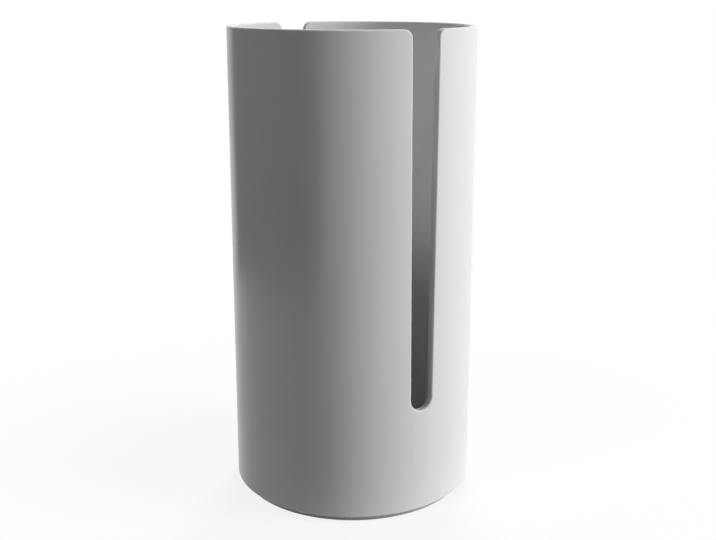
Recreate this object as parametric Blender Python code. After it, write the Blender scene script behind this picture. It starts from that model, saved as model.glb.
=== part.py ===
"""Free-standing toilet roll holder for a stack of three rolls.

A round plastic tube with two opposed slots, open at the rim, through which the remaining rolls can be
seen and lifted out. A base plate is bonded into the tube's lower end, and a soft foot ring is seated
under the plate, so the tube stands a few millimetres clear of the floor.

Metres, +Z up. The origin is on the tube's axis, at the surface that the foot ring stands on.
The slots face -Y and +Y.
"""

import math

import bmesh
import bpy

# The tube
TUBE_DIAMETER = 0.150
RIM_HEIGHT = 0.288  # the rim above the floor
FOOT_RISE = 0.004  # the tube's lower end above the floor
RIM_WALL = 0.0042
LOWER_WALL = 0.0050  # just above the ledge: the bore has a slight moulding draft
EDGE_RADIUS = 0.0010  # the rounding of the rim, the slots and the lower end

# The slots, measured along the tube's outer face
SLOT_RIM_WIDTH = 0.0182
SLOT_FOOT_WIDTH = 0.0148  # across the full-round lower end
SLOT_FOOT_HEIGHT = 0.067  # the slot's lowest point above the floor
SLOT_CORNER_RADIUS = 0.005  # where the slot's sides run out into the rim
SLOT_TURN_SHARES = (0.25, 0.75)  # places round the tube, as shares of a full turn from +X

# The socket in the tube's lower end, where the base plate is bonded in
SOCKET_WALL = 0.0039
SOCKET_DEPTH = 0.0085  # from the tube's lower end up to the ledge
LEDGE_SLOPE_HEIGHT = 0.0004  # the ledge's slight slope, for the mould to release
JOINT_GAP = 0.0003  # between one piece and the next

# The base plate and the foot ring
FLANGE_THICKNESS = 0.0055
FLOOR_RISE = 0.0015  # the floor above the ledge, so that it centres the plate in the bore
BOSS_CLEARANCE = 0.0012  # the boss above the surface that the ring stands on
RING_WIDTH = 0.012
PLATE_EDGE = 0.0004
RING_EDGE = 0.0006

# Fineness
MERGE_DISTANCE = 0.000001
CORNER_STEPS = 5
FOOT_ARC_STEPS = 7
EDGE_SEGMENTS = 3
PLATE_SEGMENTS = 2
QUARTER_COLUMNS = 26
TURNED_STEPS = 72
SLOT_COLUMN_SHARES = (0.4, 0.8)  # of half the slot's foot width
SHARP_ANGLE = math.radians(35)

TUBE_RADIUS = TUBE_DIAMETER / 2
GIRTH = math.pi * TUBE_DIAMETER
LEDGE_HEIGHT = FOOT_RISE + SOCKET_DEPTH
PLATE_RADIUS = TUBE_RADIUS - SOCKET_WALL - JOINT_GAP
FLANGE_TOP = LEDGE_HEIGHT - JOINT_GAP
FLANGE_UNDERSIDE = FLANGE_TOP - FLANGE_THICKNESS
RING_INNER_RADIUS = PLATE_RADIUS - RING_WIDTH


def clear_scene():
    """Removes what the file holds, so that only the holder is in it."""
    for item in list(bpy.data.objects):
        bpy.data.objects.remove(item, do_unlink=True)


def plain_material(name, colour, roughness):
    """A Principled material of one colour (linear RGB)."""
    material = bpy.data.materials.new(name)
    material.use_nodes = True
    shader = material.node_tree.nodes["Principled BSDF"]
    shader.inputs["Base Color"].default_value = (*colour, 1.0)
    shader.inputs["Roughness"].default_value = roughness
    shader.inputs["Metallic"].default_value = 0.0
    return material


def add_piece(name, shape, material):
    """Makes an object from a bmesh, smooth over its curves and sharp at its edges."""
    mesh = bpy.data.meshes.new(name)
    shape.to_mesh(mesh)
    shape.free()
    mesh.materials.append(material)
    mesh.shade_smooth()
    mesh.set_sharp_from_angle(angle=SHARP_ANGLE)
    piece = bpy.data.objects.new(name, mesh)
    bpy.context.scene.collection.objects.link(piece)
    return piece


def arc_points(centre, radius, start, end, steps):
    """Points along an arc, both ends included; the angles run from the first axis to the second."""
    points = []
    for step in range(steps + 1):
        angle = start + (end - start) * step / steps
        across = centre[0] + radius * math.cos(angle)
        up = centre[1] + radius * math.sin(angle)
        points.append((across, up))
    return points


def slot_half_outline():
    """One side of a slot, from the rim down to its lowest point, measured from the slot's middle.

    The rim turns into the side by a rounded corner, and the side leans in to touch the round foot.
    """
    foot_radius = SLOT_FOOT_WIDTH / 2
    foot_centre = SLOT_FOOT_HEIGHT + foot_radius
    rim_offset = SLOT_RIM_WIDTH / 2
    rise = RIM_HEIGHT - foot_centre
    lean = math.atan2(rim_offset, rise) - math.asin(foot_radius / math.hypot(rim_offset, rise))
    side_at_corner = rim_offset - SLOT_CORNER_RADIUS * math.tan(lean)
    corner = (side_at_corner + SLOT_CORNER_RADIUS / math.cos(lean), RIM_HEIGHT - SLOT_CORNER_RADIUS)
    points = arc_points(corner, SLOT_CORNER_RADIUS, math.pi / 2, math.pi - lean, CORNER_STEPS)
    points += arc_points((0, foot_centre), foot_radius, -lean, -math.pi / 2, FOOT_ARC_STEPS)
    return points


def sheet_outline():
    """The tube's outer face rolled out flat: its girth along X, its height along Z."""
    half = slot_half_outline()
    outline = [(0, FOOT_RISE), (GIRTH, FOOT_RISE), (GIRTH, RIM_HEIGHT)]
    for share in reversed(SLOT_TURN_SHARES):
        middle = GIRTH * share
        outline += [(middle + across, height) for across, height in half]
        outline += [(middle - across, height) for across, height in reversed(half[:-1])]
    outline.append((0, RIM_HEIGHT))
    return outline


def column_places():
    """Where the flat sheet is creased to be rolled: close steps, but none along a slot's sides."""
    places = [GIRTH / 2]
    flank = SLOT_RIM_WIDTH / 2 + SLOT_CORNER_RADIUS
    quarter = GIRTH / 4
    offsets = [0]
    for share in SLOT_COLUMN_SHARES:
        offsets.append(share * SLOT_FOOT_WIDTH / 2)
    for column in range(QUARTER_COLUMNS):
        offsets.append(flank + (quarter - flank) * column / QUARTER_COLUMNS)
    for share in SLOT_TURN_SHARES:
        for offset in offsets:
            places.append(GIRTH * share + offset)
            if offset:
                places.append(GIRTH * share - offset)
    return places


def wall_at(height):
    """The wall's thickness at a height: thinner in the socket, and drafted above the ledge."""
    if height < LEDGE_HEIGHT + LEDGE_SLOPE_HEIGHT / 2:
        return SOCKET_WALL
    bore_foot = LEDGE_HEIGHT + LEDGE_SLOPE_HEIGHT
    share = (height - bore_foot) / (RIM_HEIGHT - bore_foot)
    return LOWER_WALL + (RIM_WALL - LOWER_WALL) * share


def crease(shape, place, direction):
    """Cuts every face along a plane, which adds edges and leaves the form as it is."""
    everything = shape.verts[:] + shape.edges[:] + shape.faces[:]
    bmesh.ops.bisect_plane(
        shape, geom=everything, dist=MERGE_DISTANCE, plane_co=place, plane_no=direction
    )


def at_sheet_end(item):
    """Whether an edge or a face lies wholly in one of the sheet's two ends, which meet when rolled."""
    for end in (0, GIRTH):
        if all(abs(vert.co.x - end) < MERGE_DISTANCE for vert in item.verts):
            return True
    return False


def build_slotted_tube(material):
    """The shell, made as a flat slotted sheet with rounded edges that is then rolled into a tube."""
    shape = bmesh.new()
    outer_face = shape.faces.new([shape.verts.new((x, 0, z)) for x, z in sheet_outline()])
    swept = bmesh.ops.extrude_face_region(shape, geom=[outer_face])
    inner_verts = [item for item in swept["geom"] if isinstance(item, bmesh.types.BMVert)]
    bmesh.ops.translate(shape, verts=inner_verts, vec=(0, RIM_WALL, 0))
    bmesh.ops.recalc_face_normals(shape, faces=shape.faces[:])

    rounded = []
    for edge in shape.edges:
        along_a_face = abs(edge.verts[0].co.y - edge.verts[1].co.y) < MERGE_DISTANCE
        if along_a_face and not at_sheet_end(edge):
            rounded.append(edge)
    bmesh.ops.bevel(
        shape,
        geom=rounded,
        offset=EDGE_RADIUS,
        offset_type="OFFSET",
        segments=EDGE_SEGMENTS,
        profile=0.5,
        affect="EDGES",
        material=-1,
    )

    for place in column_places():
        crease(shape, (place, 0, 0), (1, 0, 0))
    for height in (LEDGE_HEIGHT, LEDGE_HEIGHT + LEDGE_SLOPE_HEIGHT):
        crease(shape, (0, 0, height), (0, 0, 1))

    ends = [face for face in shape.faces if at_sheet_end(face)]
    bmesh.ops.delete(shape, geom=ends, context="FACES")
    for vert in shape.verts:
        angle = vert.co.x / TUBE_RADIUS
        radius = TUBE_RADIUS - vert.co.y / RIM_WALL * wall_at(vert.co.z)
        vert.co.x = radius * math.cos(angle)
        vert.co.y = radius * math.sin(angle)
    bmesh.ops.remove_doubles(shape, verts=shape.verts[:], dist=MERGE_DISTANCE)
    return add_piece("slotted_tube", shape, material)


def turned(profile, closed, edge_size):
    """Turns a profile of (radius, height) points round the axis and rounds its corners."""
    shape = bmesh.new()
    verts = [shape.verts.new((radius, 0, height)) for radius, height in profile]
    edges = [shape.edges.new(pair) for pair in zip(verts, verts[1:])]
    if closed:
        edges.append(shape.edges.new((verts[-1], verts[0])))
    bmesh.ops.spin(
        shape,
        geom=verts + edges,
        cent=(0, 0, 0),
        axis=(0, 0, 1),
        angle=2 * math.pi,
        steps=TURNED_STEPS,
        use_merge=True,
        use_duplicate=False,
    )
    bmesh.ops.remove_doubles(shape, verts=shape.verts[:], dist=MERGE_DISTANCE)
    bmesh.ops.recalc_face_normals(shape, faces=shape.faces[:])
    corners = [edge for edge in shape.edges if edge.calc_face_angle() > SHARP_ANGLE]
    bmesh.ops.bevel(
        shape,
        geom=corners,
        offset=edge_size,
        offset_type="OFFSET",
        segments=PLATE_SEGMENTS,
        profile=0.5,
        affect="EDGES",
        material=-1,
    )
    return shape


def build_base_plate(material):
    """The floor: a flange under the tube's ledge, a centring step above it and a boss in the ring."""
    bore_radius = TUBE_RADIUS - LOWER_WALL
    step_radius = bore_radius - JOINT_GAP
    boss_radius = RING_INNER_RADIUS - JOINT_GAP
    floor_height = LEDGE_HEIGHT + FLOOR_RISE
    profile = [
        (0, BOSS_CLEARANCE),
        (boss_radius, BOSS_CLEARANCE),
        (boss_radius, FLANGE_UNDERSIDE),
        (PLATE_RADIUS, FLANGE_UNDERSIDE),
        (PLATE_RADIUS, FLANGE_TOP),
        (step_radius, FLANGE_TOP),
        (step_radius, floor_height),
        (0, floor_height),
    ]
    return add_piece("base_plate", turned(profile, False, PLATE_EDGE), material)


def build_foot_ring(material):
    """The soft ring under the flange, round the boss, standing proud below the tube."""
    ring_top = FLANGE_UNDERSIDE - JOINT_GAP
    profile = [
        (RING_INNER_RADIUS, 0),
        (PLATE_RADIUS, 0),
        (PLATE_RADIUS, ring_top),
        (RING_INNER_RADIUS, ring_top),
    ]
    return add_piece("foot_ring", turned(profile, True, RING_EDGE), material)


clear_scene()
satin_plastic = plain_material("satin_pale_grey_plastic", (0.74, 0.73, 0.72), 0.38)
soft_grey = plain_material("grey_elastomer", (0.20, 0.20, 0.20), 0.75)
build_slotted_tube(satin_plastic)
build_base_plate(satin_plastic)
build_foot_ring(soft_grey)
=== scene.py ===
import math

import bmesh
import bpy
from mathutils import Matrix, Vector


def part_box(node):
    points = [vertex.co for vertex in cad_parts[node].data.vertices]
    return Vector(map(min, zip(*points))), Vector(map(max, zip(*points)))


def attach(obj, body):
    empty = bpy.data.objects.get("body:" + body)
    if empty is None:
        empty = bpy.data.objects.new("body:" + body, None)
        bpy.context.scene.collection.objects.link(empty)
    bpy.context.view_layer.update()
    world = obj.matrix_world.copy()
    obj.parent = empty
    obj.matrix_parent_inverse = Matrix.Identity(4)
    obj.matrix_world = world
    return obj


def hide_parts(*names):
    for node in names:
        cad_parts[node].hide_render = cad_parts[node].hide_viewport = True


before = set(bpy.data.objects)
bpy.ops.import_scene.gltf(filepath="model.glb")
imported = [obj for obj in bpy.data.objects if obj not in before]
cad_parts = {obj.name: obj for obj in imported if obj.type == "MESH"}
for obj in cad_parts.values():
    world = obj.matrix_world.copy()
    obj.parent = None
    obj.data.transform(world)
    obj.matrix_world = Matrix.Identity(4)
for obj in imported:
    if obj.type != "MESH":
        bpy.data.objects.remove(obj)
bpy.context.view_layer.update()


# Slotted tube. The shell of the holder: one plastic moulding, open at the top, with two opposed slots
# that run out into the rim. The slots lean in slightly towards their round lower ends and every edge is
# rounded. It is modelled as the flat developed sheet, slotted and edge-rounded, and then rolled up.
tube_low, tube_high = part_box("slotted_tube")
tube_radius = (tube_high.x - tube_low.x) / 2
tube_foot = tube_low.z
rim_height = tube_high.z
girth = 2 * math.pi * tube_radius
rim_wall = 0.0042
lower_wall = 0.0050
socket_wall = 0.0039
ledge_height = 0.0125
ledge_slope_height = 0.0004
edge_radius = 0.0010
slot_rim_width = 0.0182
slot_foot_width = 0.0148
slot_foot_height = 0.067
slot_corner_radius = 0.005
slot_turn_shares = (0.25, 0.75)
corner_steps = 10
foot_arc_steps = 18
edge_segments = 5
quarter_columns = 60
foot_columns = 9
flank_columns = 4
edge_clearance = 0.0003
merge_distance = 1e-6
sharp_angle = math.radians(35)


def arc_points(centre, radius, start, end, steps):
    """Points along an arc, both ends included; the angles run from the first axis to the second."""
    points = []
    for step in range(steps + 1):
        angle = start + (end - start) * step / steps
        points.append((centre[0] + radius * math.cos(angle), centre[1] + radius * math.sin(angle)))
    return points


def slot_half_outline():
    """One side of a slot, from the rim down to its lowest point, measured from the slot's middle."""
    foot_radius = slot_foot_width / 2
    foot_centre = slot_foot_height + foot_radius
    rim_offset = slot_rim_width / 2
    rise = rim_height - foot_centre
    lean = math.atan2(rim_offset, rise) - math.asin(foot_radius / math.hypot(rim_offset, rise))
    side_at_corner = rim_offset - slot_corner_radius * math.tan(lean)
    corner = (side_at_corner + slot_corner_radius / math.cos(lean), rim_height - slot_corner_radius)
    points = arc_points(corner, slot_corner_radius, math.pi / 2, math.pi - lean, corner_steps)
    points += arc_points((0, foot_centre), foot_radius, -lean, -math.pi / 2, foot_arc_steps)
    return points


def sheet_outline():
    """The tube's outer face rolled out flat: its girth along X, its height along Z."""
    half = slot_half_outline()
    outline = [(0, tube_foot), (girth, tube_foot), (girth, rim_height)]
    for share in reversed(slot_turn_shares):
        middle = girth * share
        outline += [(middle + across, height) for across, height in half]
        outline += [(middle - across, height) for across, height in reversed(half[:-1])]
    outline.append((0, rim_height))
    return outline


def crease(shape, point, direction):
    """Cuts every face along a plane, which adds edges and leaves the form as it is."""
    everything = shape.verts[:] + shape.edges[:] + shape.faces[:]
    bmesh.ops.bisect_plane(
        shape, geom=everything, dist=merge_distance, plane_co=point, plane_no=direction
    )


def at_sheet_end(item):
    """Whether an edge or a face lies wholly in one of the sheet's two ends, which meet when rolled."""
    for end in (0, girth):
        if all(abs(vert.co.x - end) < merge_distance for vert in item.verts):
            return True
    return False


def wall_at(height):
    """The wall's thickness at a height: thinner in the socket, and drafted above the ledge."""
    if height < ledge_height + ledge_slope_height / 2:
        return socket_wall
    bore_foot = ledge_height + ledge_slope_height
    share = (height - bore_foot) / (rim_height - bore_foot)
    return lower_wall + (rim_wall - lower_wall) * share


def mesh_object(name, shape):
    """Makes an object at the origin from a bmesh, which it frees."""
    mesh = bpy.data.meshes.new(name)
    shape.to_mesh(mesh)
    shape.free()
    thing = bpy.data.objects.new(name, mesh)
    bpy.context.scene.collection.objects.link(thing)
    return thing


def finished_piece(name, shape):
    """Makes a piece from a bmesh, smooth over its curves, its large faces keeping their true normals."""
    piece = mesh_object(name, shape)
    piece.data.shade_smooth()
    piece.data.set_sharp_from_angle(angle=sharp_angle)
    weighting = piece.modifiers.new("face_weighted_normals", "WEIGHTED_NORMAL")
    weighting.keep_sharp = True
    return piece


sheet = bmesh.new()
outer_face = sheet.faces.new([sheet.verts.new((x, 0, z)) for x, z in sheet_outline()])
swept = bmesh.ops.extrude_face_region(sheet, geom=[outer_face])
inner_verts = [item for item in swept["geom"] if isinstance(item, bmesh.types.BMVert)]
bmesh.ops.translate(sheet, verts=inner_verts, vec=(0, rim_wall, 0))
bmesh.ops.recalc_face_normals(sheet, faces=sheet.faces[:])
rounded = []
for edge in sheet.edges:
    along_a_face = abs(edge.verts[0].co.y - edge.verts[1].co.y) < merge_distance
    if along_a_face and not at_sheet_end(edge):
        rounded.append(edge)
bmesh.ops.bevel(
    sheet,
    geom=rounded,
    offset=edge_radius,
    offset_type="OFFSET",
    segments=edge_segments,
    profile=0.5,
    affect="EDGES",
    material=-1,
)

flank = slot_rim_width / 2 + slot_corner_radius
beside_rim = slot_rim_width / 2 + edge_radius + edge_clearance
beside_foot = slot_foot_width / 2 + edge_radius + edge_clearance
upright_places = [girth / 2]
for share in slot_turn_shares:
    middle = girth * share
    for column in range(quarter_columns):
        offset = flank + (girth / 4 - flank) * column / quarter_columns
        upright_places += [middle - offset, middle + offset]
    for column in range(1 - foot_columns, foot_columns):
        upright_places.append(middle + slot_foot_width / 2 * column / foot_columns)
    for column in range(flank_columns):
        at_rim = beside_rim + (flank - beside_rim) * column / flank_columns
        at_foot = beside_foot + (flank - beside_foot) * column / flank_columns
        for side in (-1, 1):
            point = (middle + side * at_rim, 0, rim_height)
            crease(sheet, point, (rim_height - slot_foot_height, 0, side * (at_foot - at_rim)))
for place in upright_places:
    crease(sheet, (place, 0, 0), (1, 0, 0))
for height in (ledge_height, ledge_height + ledge_slope_height):
    crease(sheet, (0, 0, height), (0, 0, 1))

sheet_ends = [face for face in sheet.faces if at_sheet_end(face)]
bmesh.ops.delete(sheet, geom=sheet_ends, context="FACES")
for vert in sheet.verts:
    angle = vert.co.x / tube_radius
    radius = tube_radius - vert.co.y / rim_wall * wall_at(vert.co.z)
    vert.co.x = radius * math.cos(angle)
    vert.co.y = radius * math.sin(angle)
bmesh.ops.remove_doubles(sheet, verts=sheet.verts[:], dist=merge_distance)
tube = finished_piece("tube_shell", sheet)


def linear_colour(hex_code):
    """An sRGB hex colour as linear RGBA."""
    channels = []
    for start in (1, 3, 5):
        value = int(hex_code[start:start + 2], 16) / 255
        channels.append(value / 12.92 if value <= 0.04045 else ((value + 0.055) / 1.055) ** 2.4)
    return (*channels, 1.0)


def empty_material(name):
    """A material with no nodes yet."""
    material = bpy.data.materials.new(name)
    material.use_nodes = True
    material.node_tree.nodes.clear()
    return material


def add_node(tree, kind, inputs=None, **settings):
    """Adds a node to a material or the world; an input that is a socket is linked, any other is set."""
    node = tree.nodes.new(kind)
    for name, value in settings.items():
        setattr(node, name, value)
    for socket, value in (inputs or {}).items():
        if isinstance(value, bpy.types.NodeSocket):
            tree.links.new(value, node.inputs[socket])
        else:
            node.inputs[socket].default_value = value
    return node


# Satin moulded ABS: the mould's spark-eroded surface leaves a fine grain that spreads reflections into
# soft bands; the colour is a pale, barely warm grey. The real grain is about 0.2 mm and is drawn at
# 0.9 mm so that it shows; a slow change of gloss over some 40 mm comes from handling and cooling.
abs_grey = "#D9D7D7"
abs_pale_grey = "#DCDADA"
abs_ior = 1.52
abs_smoother_roughness = 0.20
abs_duller_roughness = 0.26
abs_grain_size = 0.0009
abs_grain_depth = 0.00005
abs_handling_size = 0.040
satin_abs = empty_material("satin_moulded_abs")
tree = satin_abs.node_tree
surface_point = add_node(tree, "ShaderNodeTexCoord").outputs["Object"]
grain = add_node(
    tree,
    "ShaderNodeTexNoise",
    {"Vector": surface_point, "Scale": 1 / abs_grain_size, "Detail": 2.0, "Roughness": 0.6},
)
handling = add_node(
    tree,
    "ShaderNodeTexNoise",
    {"Vector": surface_point, "Scale": 1 / abs_handling_size, "Detail": 3.0, "Roughness": 0.5},
)
gloss = add_node(
    tree,
    "ShaderNodeMapRange",
    {
        "Value": handling.outputs["Fac"],
        "From Min": 0.3,
        "From Max": 0.7,
        "To Min": abs_smoother_roughness,
        "To Max": abs_duller_roughness,
    },
)
tone = add_node(
    tree,
    "ShaderNodeMix",
    {
        "Factor": handling.outputs["Fac"],
        "A": linear_colour(abs_grey),
        "B": linear_colour(abs_pale_grey),
    },
    data_type="RGBA",
)
relief = add_node(
    tree,
    "ShaderNodeBump",
    {"Strength": 0.25, "Distance": abs_grain_depth, "Height": grain.outputs["Fac"]},
)
surface = add_node(
    tree,
    "ShaderNodeBsdfPrincipled",
    {
        "Base Color": tone.outputs["Result"],
        "Roughness": gloss.outputs["Result"],
        "IOR": abs_ior,
        "Normal": relief.outputs["Normal"],
    },
)
add_node(tree, "ShaderNodeOutputMaterial", {"Surface": surface.outputs["BSDF"]})
tube.data.materials.append(satin_abs)
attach(tube, "root")
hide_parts("slotted_tube")


# Base plate. The floor that the rolls stand on: a stepped disc of the tube's plastic, pushed up into the
# socket in the tube's lower end until its flange meets the ledge, and bonded there.
plate_low, plate_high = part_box("base_plate")
ring_low, ring_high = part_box("foot_ring")
plate_radius = (plate_high.x - plate_low.x) / 2
joint_gap = 0.0003
ring_width = 0.012
ring_inner_radius = plate_radius - ring_width
plate_edge_radius = 0.0004
turned_steps = 180
turned_edge_segments = 3


def turned(profile, closed, corner_radius):
    """Turns a profile of (radius, height) points round the axis and rounds its corners."""
    shape = bmesh.new()
    verts = [shape.verts.new((radius, 0, height)) for radius, height in profile]
    edges = [shape.edges.new(pair) for pair in zip(verts, verts[1:])]
    if closed:
        edges.append(shape.edges.new((verts[-1], verts[0])))
    bmesh.ops.spin(
        shape,
        geom=verts + edges,
        cent=(0, 0, 0),
        axis=(0, 0, 1),
        angle=2 * math.pi,
        steps=turned_steps,
        use_merge=True,
        use_duplicate=False,
    )
    bmesh.ops.remove_doubles(shape, verts=shape.verts[:], dist=merge_distance)
    bmesh.ops.recalc_face_normals(shape, faces=shape.faces[:])
    corners = [edge for edge in shape.edges if edge.calc_face_angle() > sharp_angle]
    bmesh.ops.bevel(
        shape,
        geom=corners,
        offset=corner_radius,
        offset_type="OFFSET",
        segments=turned_edge_segments,
        profile=0.5,
        affect="EDGES",
        material=-1,
    )
    return shape


bore_step_radius = tube_radius - lower_wall - joint_gap
flange_top = ledge_height - joint_gap
flange_underside = ring_high.z + joint_gap
plate_profile = [
    (0, plate_low.z),
    (ring_inner_radius - joint_gap, plate_low.z),
    (ring_inner_radius - joint_gap, flange_underside),
    (plate_radius, flange_underside),
    (plate_radius, flange_top),
    (bore_step_radius, flange_top),
    (bore_step_radius, plate_high.z),
    (0, plate_high.z),
]
plate_shape = turned(plate_profile, closed=False, corner_radius=plate_edge_radius)
plate = finished_piece("floor_plate", plate_shape)
plate.data.materials.append(satin_abs)
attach(plate, "root")
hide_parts("base_plate")


# Foot ring. A soft anti-slip ring pressed up against the flange, round the boss of the base plate. It
# stands proud below the tube and is set in from the tube's wall, so that it shows as a thin shaded line
# all round and the tube seems to float.
ring_edge_radius = 0.0006
ring_profile = [
    (ring_inner_radius, ring_low.z),
    (plate_radius, ring_low.z),
    (plate_radius, ring_high.z),
    (ring_inner_radius, ring_high.z),
]
ring_shape = turned(ring_profile, closed=True, corner_radius=ring_edge_radius)
ring = finished_piece("anti_slip_ring", ring_shape)

# Moulded thermoplastic elastomer: a middling grey with a waxy skin that reflects more than bare rubber,
# softer in its gloss than the tube. The speckle of its faint bloom is drawn at 1 mm so that it shows.
elastomer_grey = "#939290"
elastomer_bloom_grey = "#9C9B99"
elastomer_ior = 1.55
elastomer_specular_level = 1.0
elastomer_roughness = 0.45
elastomer_speckle_size = 0.0010
elastomer_speckle_depth = 0.0001
elastomer = empty_material("grey_moulded_elastomer")
tree = elastomer.node_tree
surface_point = add_node(tree, "ShaderNodeTexCoord").outputs["Object"]
bloom = add_node(
    tree,
    "ShaderNodeTexNoise",
    {"Vector": surface_point, "Scale": 1 / elastomer_speckle_size, "Detail": 4.0, "Roughness": 0.6},
)
tone = add_node(
    tree,
    "ShaderNodeMix",
    {
        "Factor": bloom.outputs["Fac"],
        "A": linear_colour(elastomer_grey),
        "B": linear_colour(elastomer_bloom_grey),
    },
    data_type="RGBA",
)
relief = add_node(
    tree,
    "ShaderNodeBump",
    {"Strength": 0.3, "Distance": elastomer_speckle_depth, "Height": bloom.outputs["Fac"]},
)
surface = add_node(
    tree,
    "ShaderNodeBsdfPrincipled",
    {
        "Base Color": tone.outputs["Result"],
        "Roughness": elastomer_roughness,
        "IOR": elastomer_ior,
        "Specular IOR Level": elastomer_specular_level,
        "Normal": relief.outputs["Normal"],
    },
)
add_node(tree, "ShaderNodeOutputMaterial", {"Surface": surface.outputs["BSDF"]})
ring.data.materials.append(elastomer)
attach(ring, "root")
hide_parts("foot_ring")


# Floor. A large sheet of paper under the foot ring. The camera and reflections see it nearly as white as
# the backdrop, with the holder's soft shadow left in it. The light that it throws back up is that of
# pale paper round the foot and of grey further out, so that the shaded side of the wall stays dark.
floor_half_width = 6.0
floor_shadow_reach = 5 * tube_radius
foot_light_reach = 1.6 * tube_radius
paper_seen_white = "#F4F4F4"
paper_near_grey = "#BCBCBC"
paper_far_grey = "#6C6C6C"
glow_share_near = 0.85
glow_share_far = 1.0


def seen_directly(tree, paths):
    """A socket that is 1 for what the camera, a reflection or glass sees, and 0 for light thrown on."""
    seen_or_reflected = add_node(
        tree,
        "ShaderNodeMath",
        {0: paths.outputs["Is Camera Ray"], 1: paths.outputs["Is Glossy Ray"]},
        operation="MAXIMUM",
    )
    seen_through = add_node(
        tree,
        "ShaderNodeMath",
        {0: seen_or_reflected.outputs["Value"], 1: paths.outputs["Is Transmission Ray"]},
        operation="MAXIMUM",
    )
    return seen_through.outputs["Value"]


floor_shape = bmesh.new()
bmesh.ops.create_grid(floor_shape, x_segments=1, y_segments=1, size=floor_half_width)
floor = mesh_object("floor", floor_shape)
white_paper = empty_material("matt_white_paper")
tree = white_paper.node_tree
paper_seen = seen_directly(tree, add_node(tree, "ShaderNodeLightPath"))
surface_point = add_node(tree, "ShaderNodeTexCoord").outputs["Object"]
from_axis = add_node(tree, "ShaderNodeVectorMath", {0: surface_point}, operation="LENGTH")
fade = add_node(
    tree,
    "ShaderNodeMapRange",
    {
        "Value": from_axis.outputs["Value"],
        "From Min": tube_radius,
        "From Max": floor_shadow_reach,
        "To Min": glow_share_near,
        "To Max": glow_share_far,
    },
    interpolation_type="SMOOTHSTEP",
)
whiteness = add_node(
    tree, "ShaderNodeMath", {0: paper_seen, 1: fade.outputs["Result"]}, operation="MULTIPLY"
)
away_from_foot = add_node(
    tree,
    "ShaderNodeMapRange",
    {
        "Value": from_axis.outputs["Value"],
        "From Min": tube_radius,
        "From Max": foot_light_reach,
    },
    interpolation_type="SMOOTHSTEP",
)
thrown_back = add_node(
    tree,
    "ShaderNodeMix",
    {
        "Factor": away_from_foot.outputs["Result"],
        "A": linear_colour(paper_near_grey),
        "B": linear_colour(paper_far_grey),
    },
    data_type="RGBA",
)
tone = add_node(
    tree,
    "ShaderNodeMix",
    {
        "Factor": paper_seen,
        "A": thrown_back.outputs["Result"],
        "B": linear_colour(paper_seen_white),
    },
    data_type="RGBA",
)
paper = add_node(tree, "ShaderNodeBsdfDiffuse", {"Color": tone.outputs["Result"]})
glow = add_node(tree, "ShaderNodeEmission", {"Color": (1, 1, 1, 1), "Strength": 1.0})
blend = add_node(
    tree,
    "ShaderNodeMixShader",
    {"Fac": whiteness.outputs["Value"], 1: paper.outputs["BSDF"], 2: glow.outputs["Emission"]},
)
add_node(tree, "ShaderNodeOutputMaterial", {"Surface": blend.outputs["Shader"]})
floor.data.materials.append(white_paper)


# Studio light. A white surround for the camera and for first reflections, a tall and low key softbox to
# the camera's right, a small weak one from the upper left, and one behind that lights the inner wall.
# The softboxes are kept out of reflections; deep inside, the surround is too, so the inside stays dark.
camera_azimuth = -33.0
aim = Vector((0, 0, rim_height / 2))
half_a_bounce = 0.5
world = bpy.data.worlds.new("white_studio")
bpy.context.scene.world = world
world.use_nodes = True
tree = world.node_tree
tree.nodes.clear()
paths = add_node(tree, "ShaderNodeLightPath")
not_thrown_on = add_node(
    tree,
    "ShaderNodeMath",
    {0: paths.outputs["Diffuse Depth"], 1: half_a_bounce},
    operation="LESS_THAN",
)
strength = add_node(
    tree,
    "ShaderNodeMath",
    {0: seen_directly(tree, paths), 1: not_thrown_on.outputs["Value"]},
    operation="MULTIPLY",
)
surround = add_node(
    tree, "ShaderNodeBackground", {"Color": (1, 1, 1, 1), "Strength": strength.outputs["Value"]}
)
add_node(tree, "ShaderNodeOutputWorld", {"Surface": surround.outputs["Background"]})


def softbox(name, azimuth, elevation, distance, width, height, power):
    """An area lamp turned towards the holder; azimuths run from the camera towards its right."""
    lamp = bpy.data.lights.new(name, "AREA")
    lamp.shape = "RECTANGLE"
    lamp.size = width
    lamp.size_y = height
    lamp.energy = power
    holder = bpy.data.objects.new(name, lamp)
    bpy.context.scene.collection.objects.link(holder)
    turn, lift = math.radians(camera_azimuth + azimuth), math.radians(elevation)
    back = Vector((math.sin(turn) * math.cos(lift), -math.cos(turn) * math.cos(lift), math.sin(lift)))
    holder.location = aim + back * distance
    holder.rotation_mode = "QUATERNION"
    holder.rotation_quaternion = back.to_track_quat("Z", "Y")
    holder.visible_glossy = False


softbox("key_softbox", azimuth=75, elevation=16, distance=2.5, width=1.1, height=2.0, power=80)
softbox("fill_softbox", azimuth=-50, elevation=49, distance=2.0, width=0.3, height=0.3, power=7.4)
softbox("back_softbox", azimuth=172, elevation=42, distance=2.5, width=1.0, height=1.0, power=46)


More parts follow.
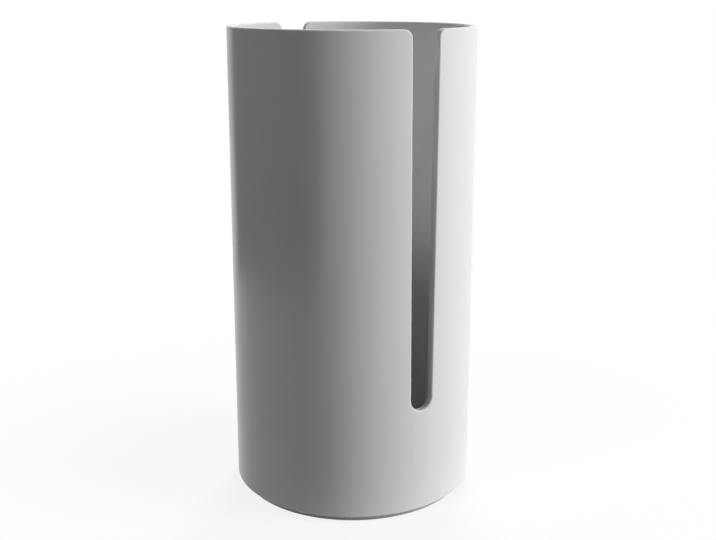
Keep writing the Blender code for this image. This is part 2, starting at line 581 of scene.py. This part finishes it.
# Grey card. A curved grey sheet on the camera's left, from behind the holder to near the camera, that
# glows
# evenly and that only reflections see: a painted dark reflection, it takes the white surround out of the
# shaded side of the wall and leaves a thin bright line along its edge.
card_radius = 0.55
card_height = 1.2
card_azimuth = -133.0
card_sweep = math.radians(108)
card_steps = 24
card_glow_grey = "#898989"
card_turn = math.radians(camera_azimuth + card_azimuth)
card_shape = bmesh.new()
card_foot = card_shape.verts.new(
    (card_radius * math.sin(card_turn), -card_radius * math.cos(card_turn), 0)
)
card_top = card_shape.verts.new((*card_foot.co.xy, card_height))
card_edge = card_shape.edges.new((card_foot, card_top))
bmesh.ops.spin(
    card_shape,
    geom=[card_foot, card_top, card_edge],
    cent=(0, 0, 0),
    axis=(0, 0, 1),
    angle=card_sweep,
    steps=card_steps,
)
card = mesh_object("grey_card", card_shape)
card.visible_camera = False
card.visible_diffuse = False
card.visible_transmission = False
card.visible_shadow = False
# Its material glows at a fixed grey whatever the lamps do, which paints the dark reflection on the
# shaded side.
glowing_grey_card = empty_material("glowing_grey_card")
tree = glowing_grey_card.node_tree
even_glow = add_node(tree, "ShaderNodeEmission", {"Color": linear_colour(card_glow_grey), "Strength": 1.0})
add_node(tree, "ShaderNodeOutputMaterial", {"Surface": even_glow.outputs["Emission"]})
card.data.materials.append(glowing_grey_card)


# Camera. A little above the rim's height and tilted down by 13 degrees, close enough for the rim and the
# foot to curve strongly, as in the photograph. Distances are from the tube's axis; the focal length is
# in pixels of the photograph's width.
image_width = 716
focal_pixels = 1047
shift_pixels = 32
sensor_width = 36.0
camera_distance = 0.640
camera_height = 0.3098
pan = math.radians(-0.31)
tilt = math.radians(13.45)
camera_data = bpy.data.cameras.new("camera")
camera = bpy.data.objects.new("camera", camera_data)
bpy.context.scene.collection.objects.link(camera)
bpy.context.scene.camera = camera
camera_data.sensor_width = sensor_width
camera_data.lens = focal_pixels * sensor_width / image_width
camera_data.shift_y = -shift_pixels / image_width
camera_turn = math.radians(camera_azimuth)
towards = Vector((math.sin(camera_turn), -math.cos(camera_turn), 0))
camera.location = towards * camera_distance + Vector((0, 0, camera_height))
camera.rotation_euler = (math.pi / 2 - tilt, 0, camera_turn + pan)
bpy.context.scene.view_settings.view_transform = "Standard"
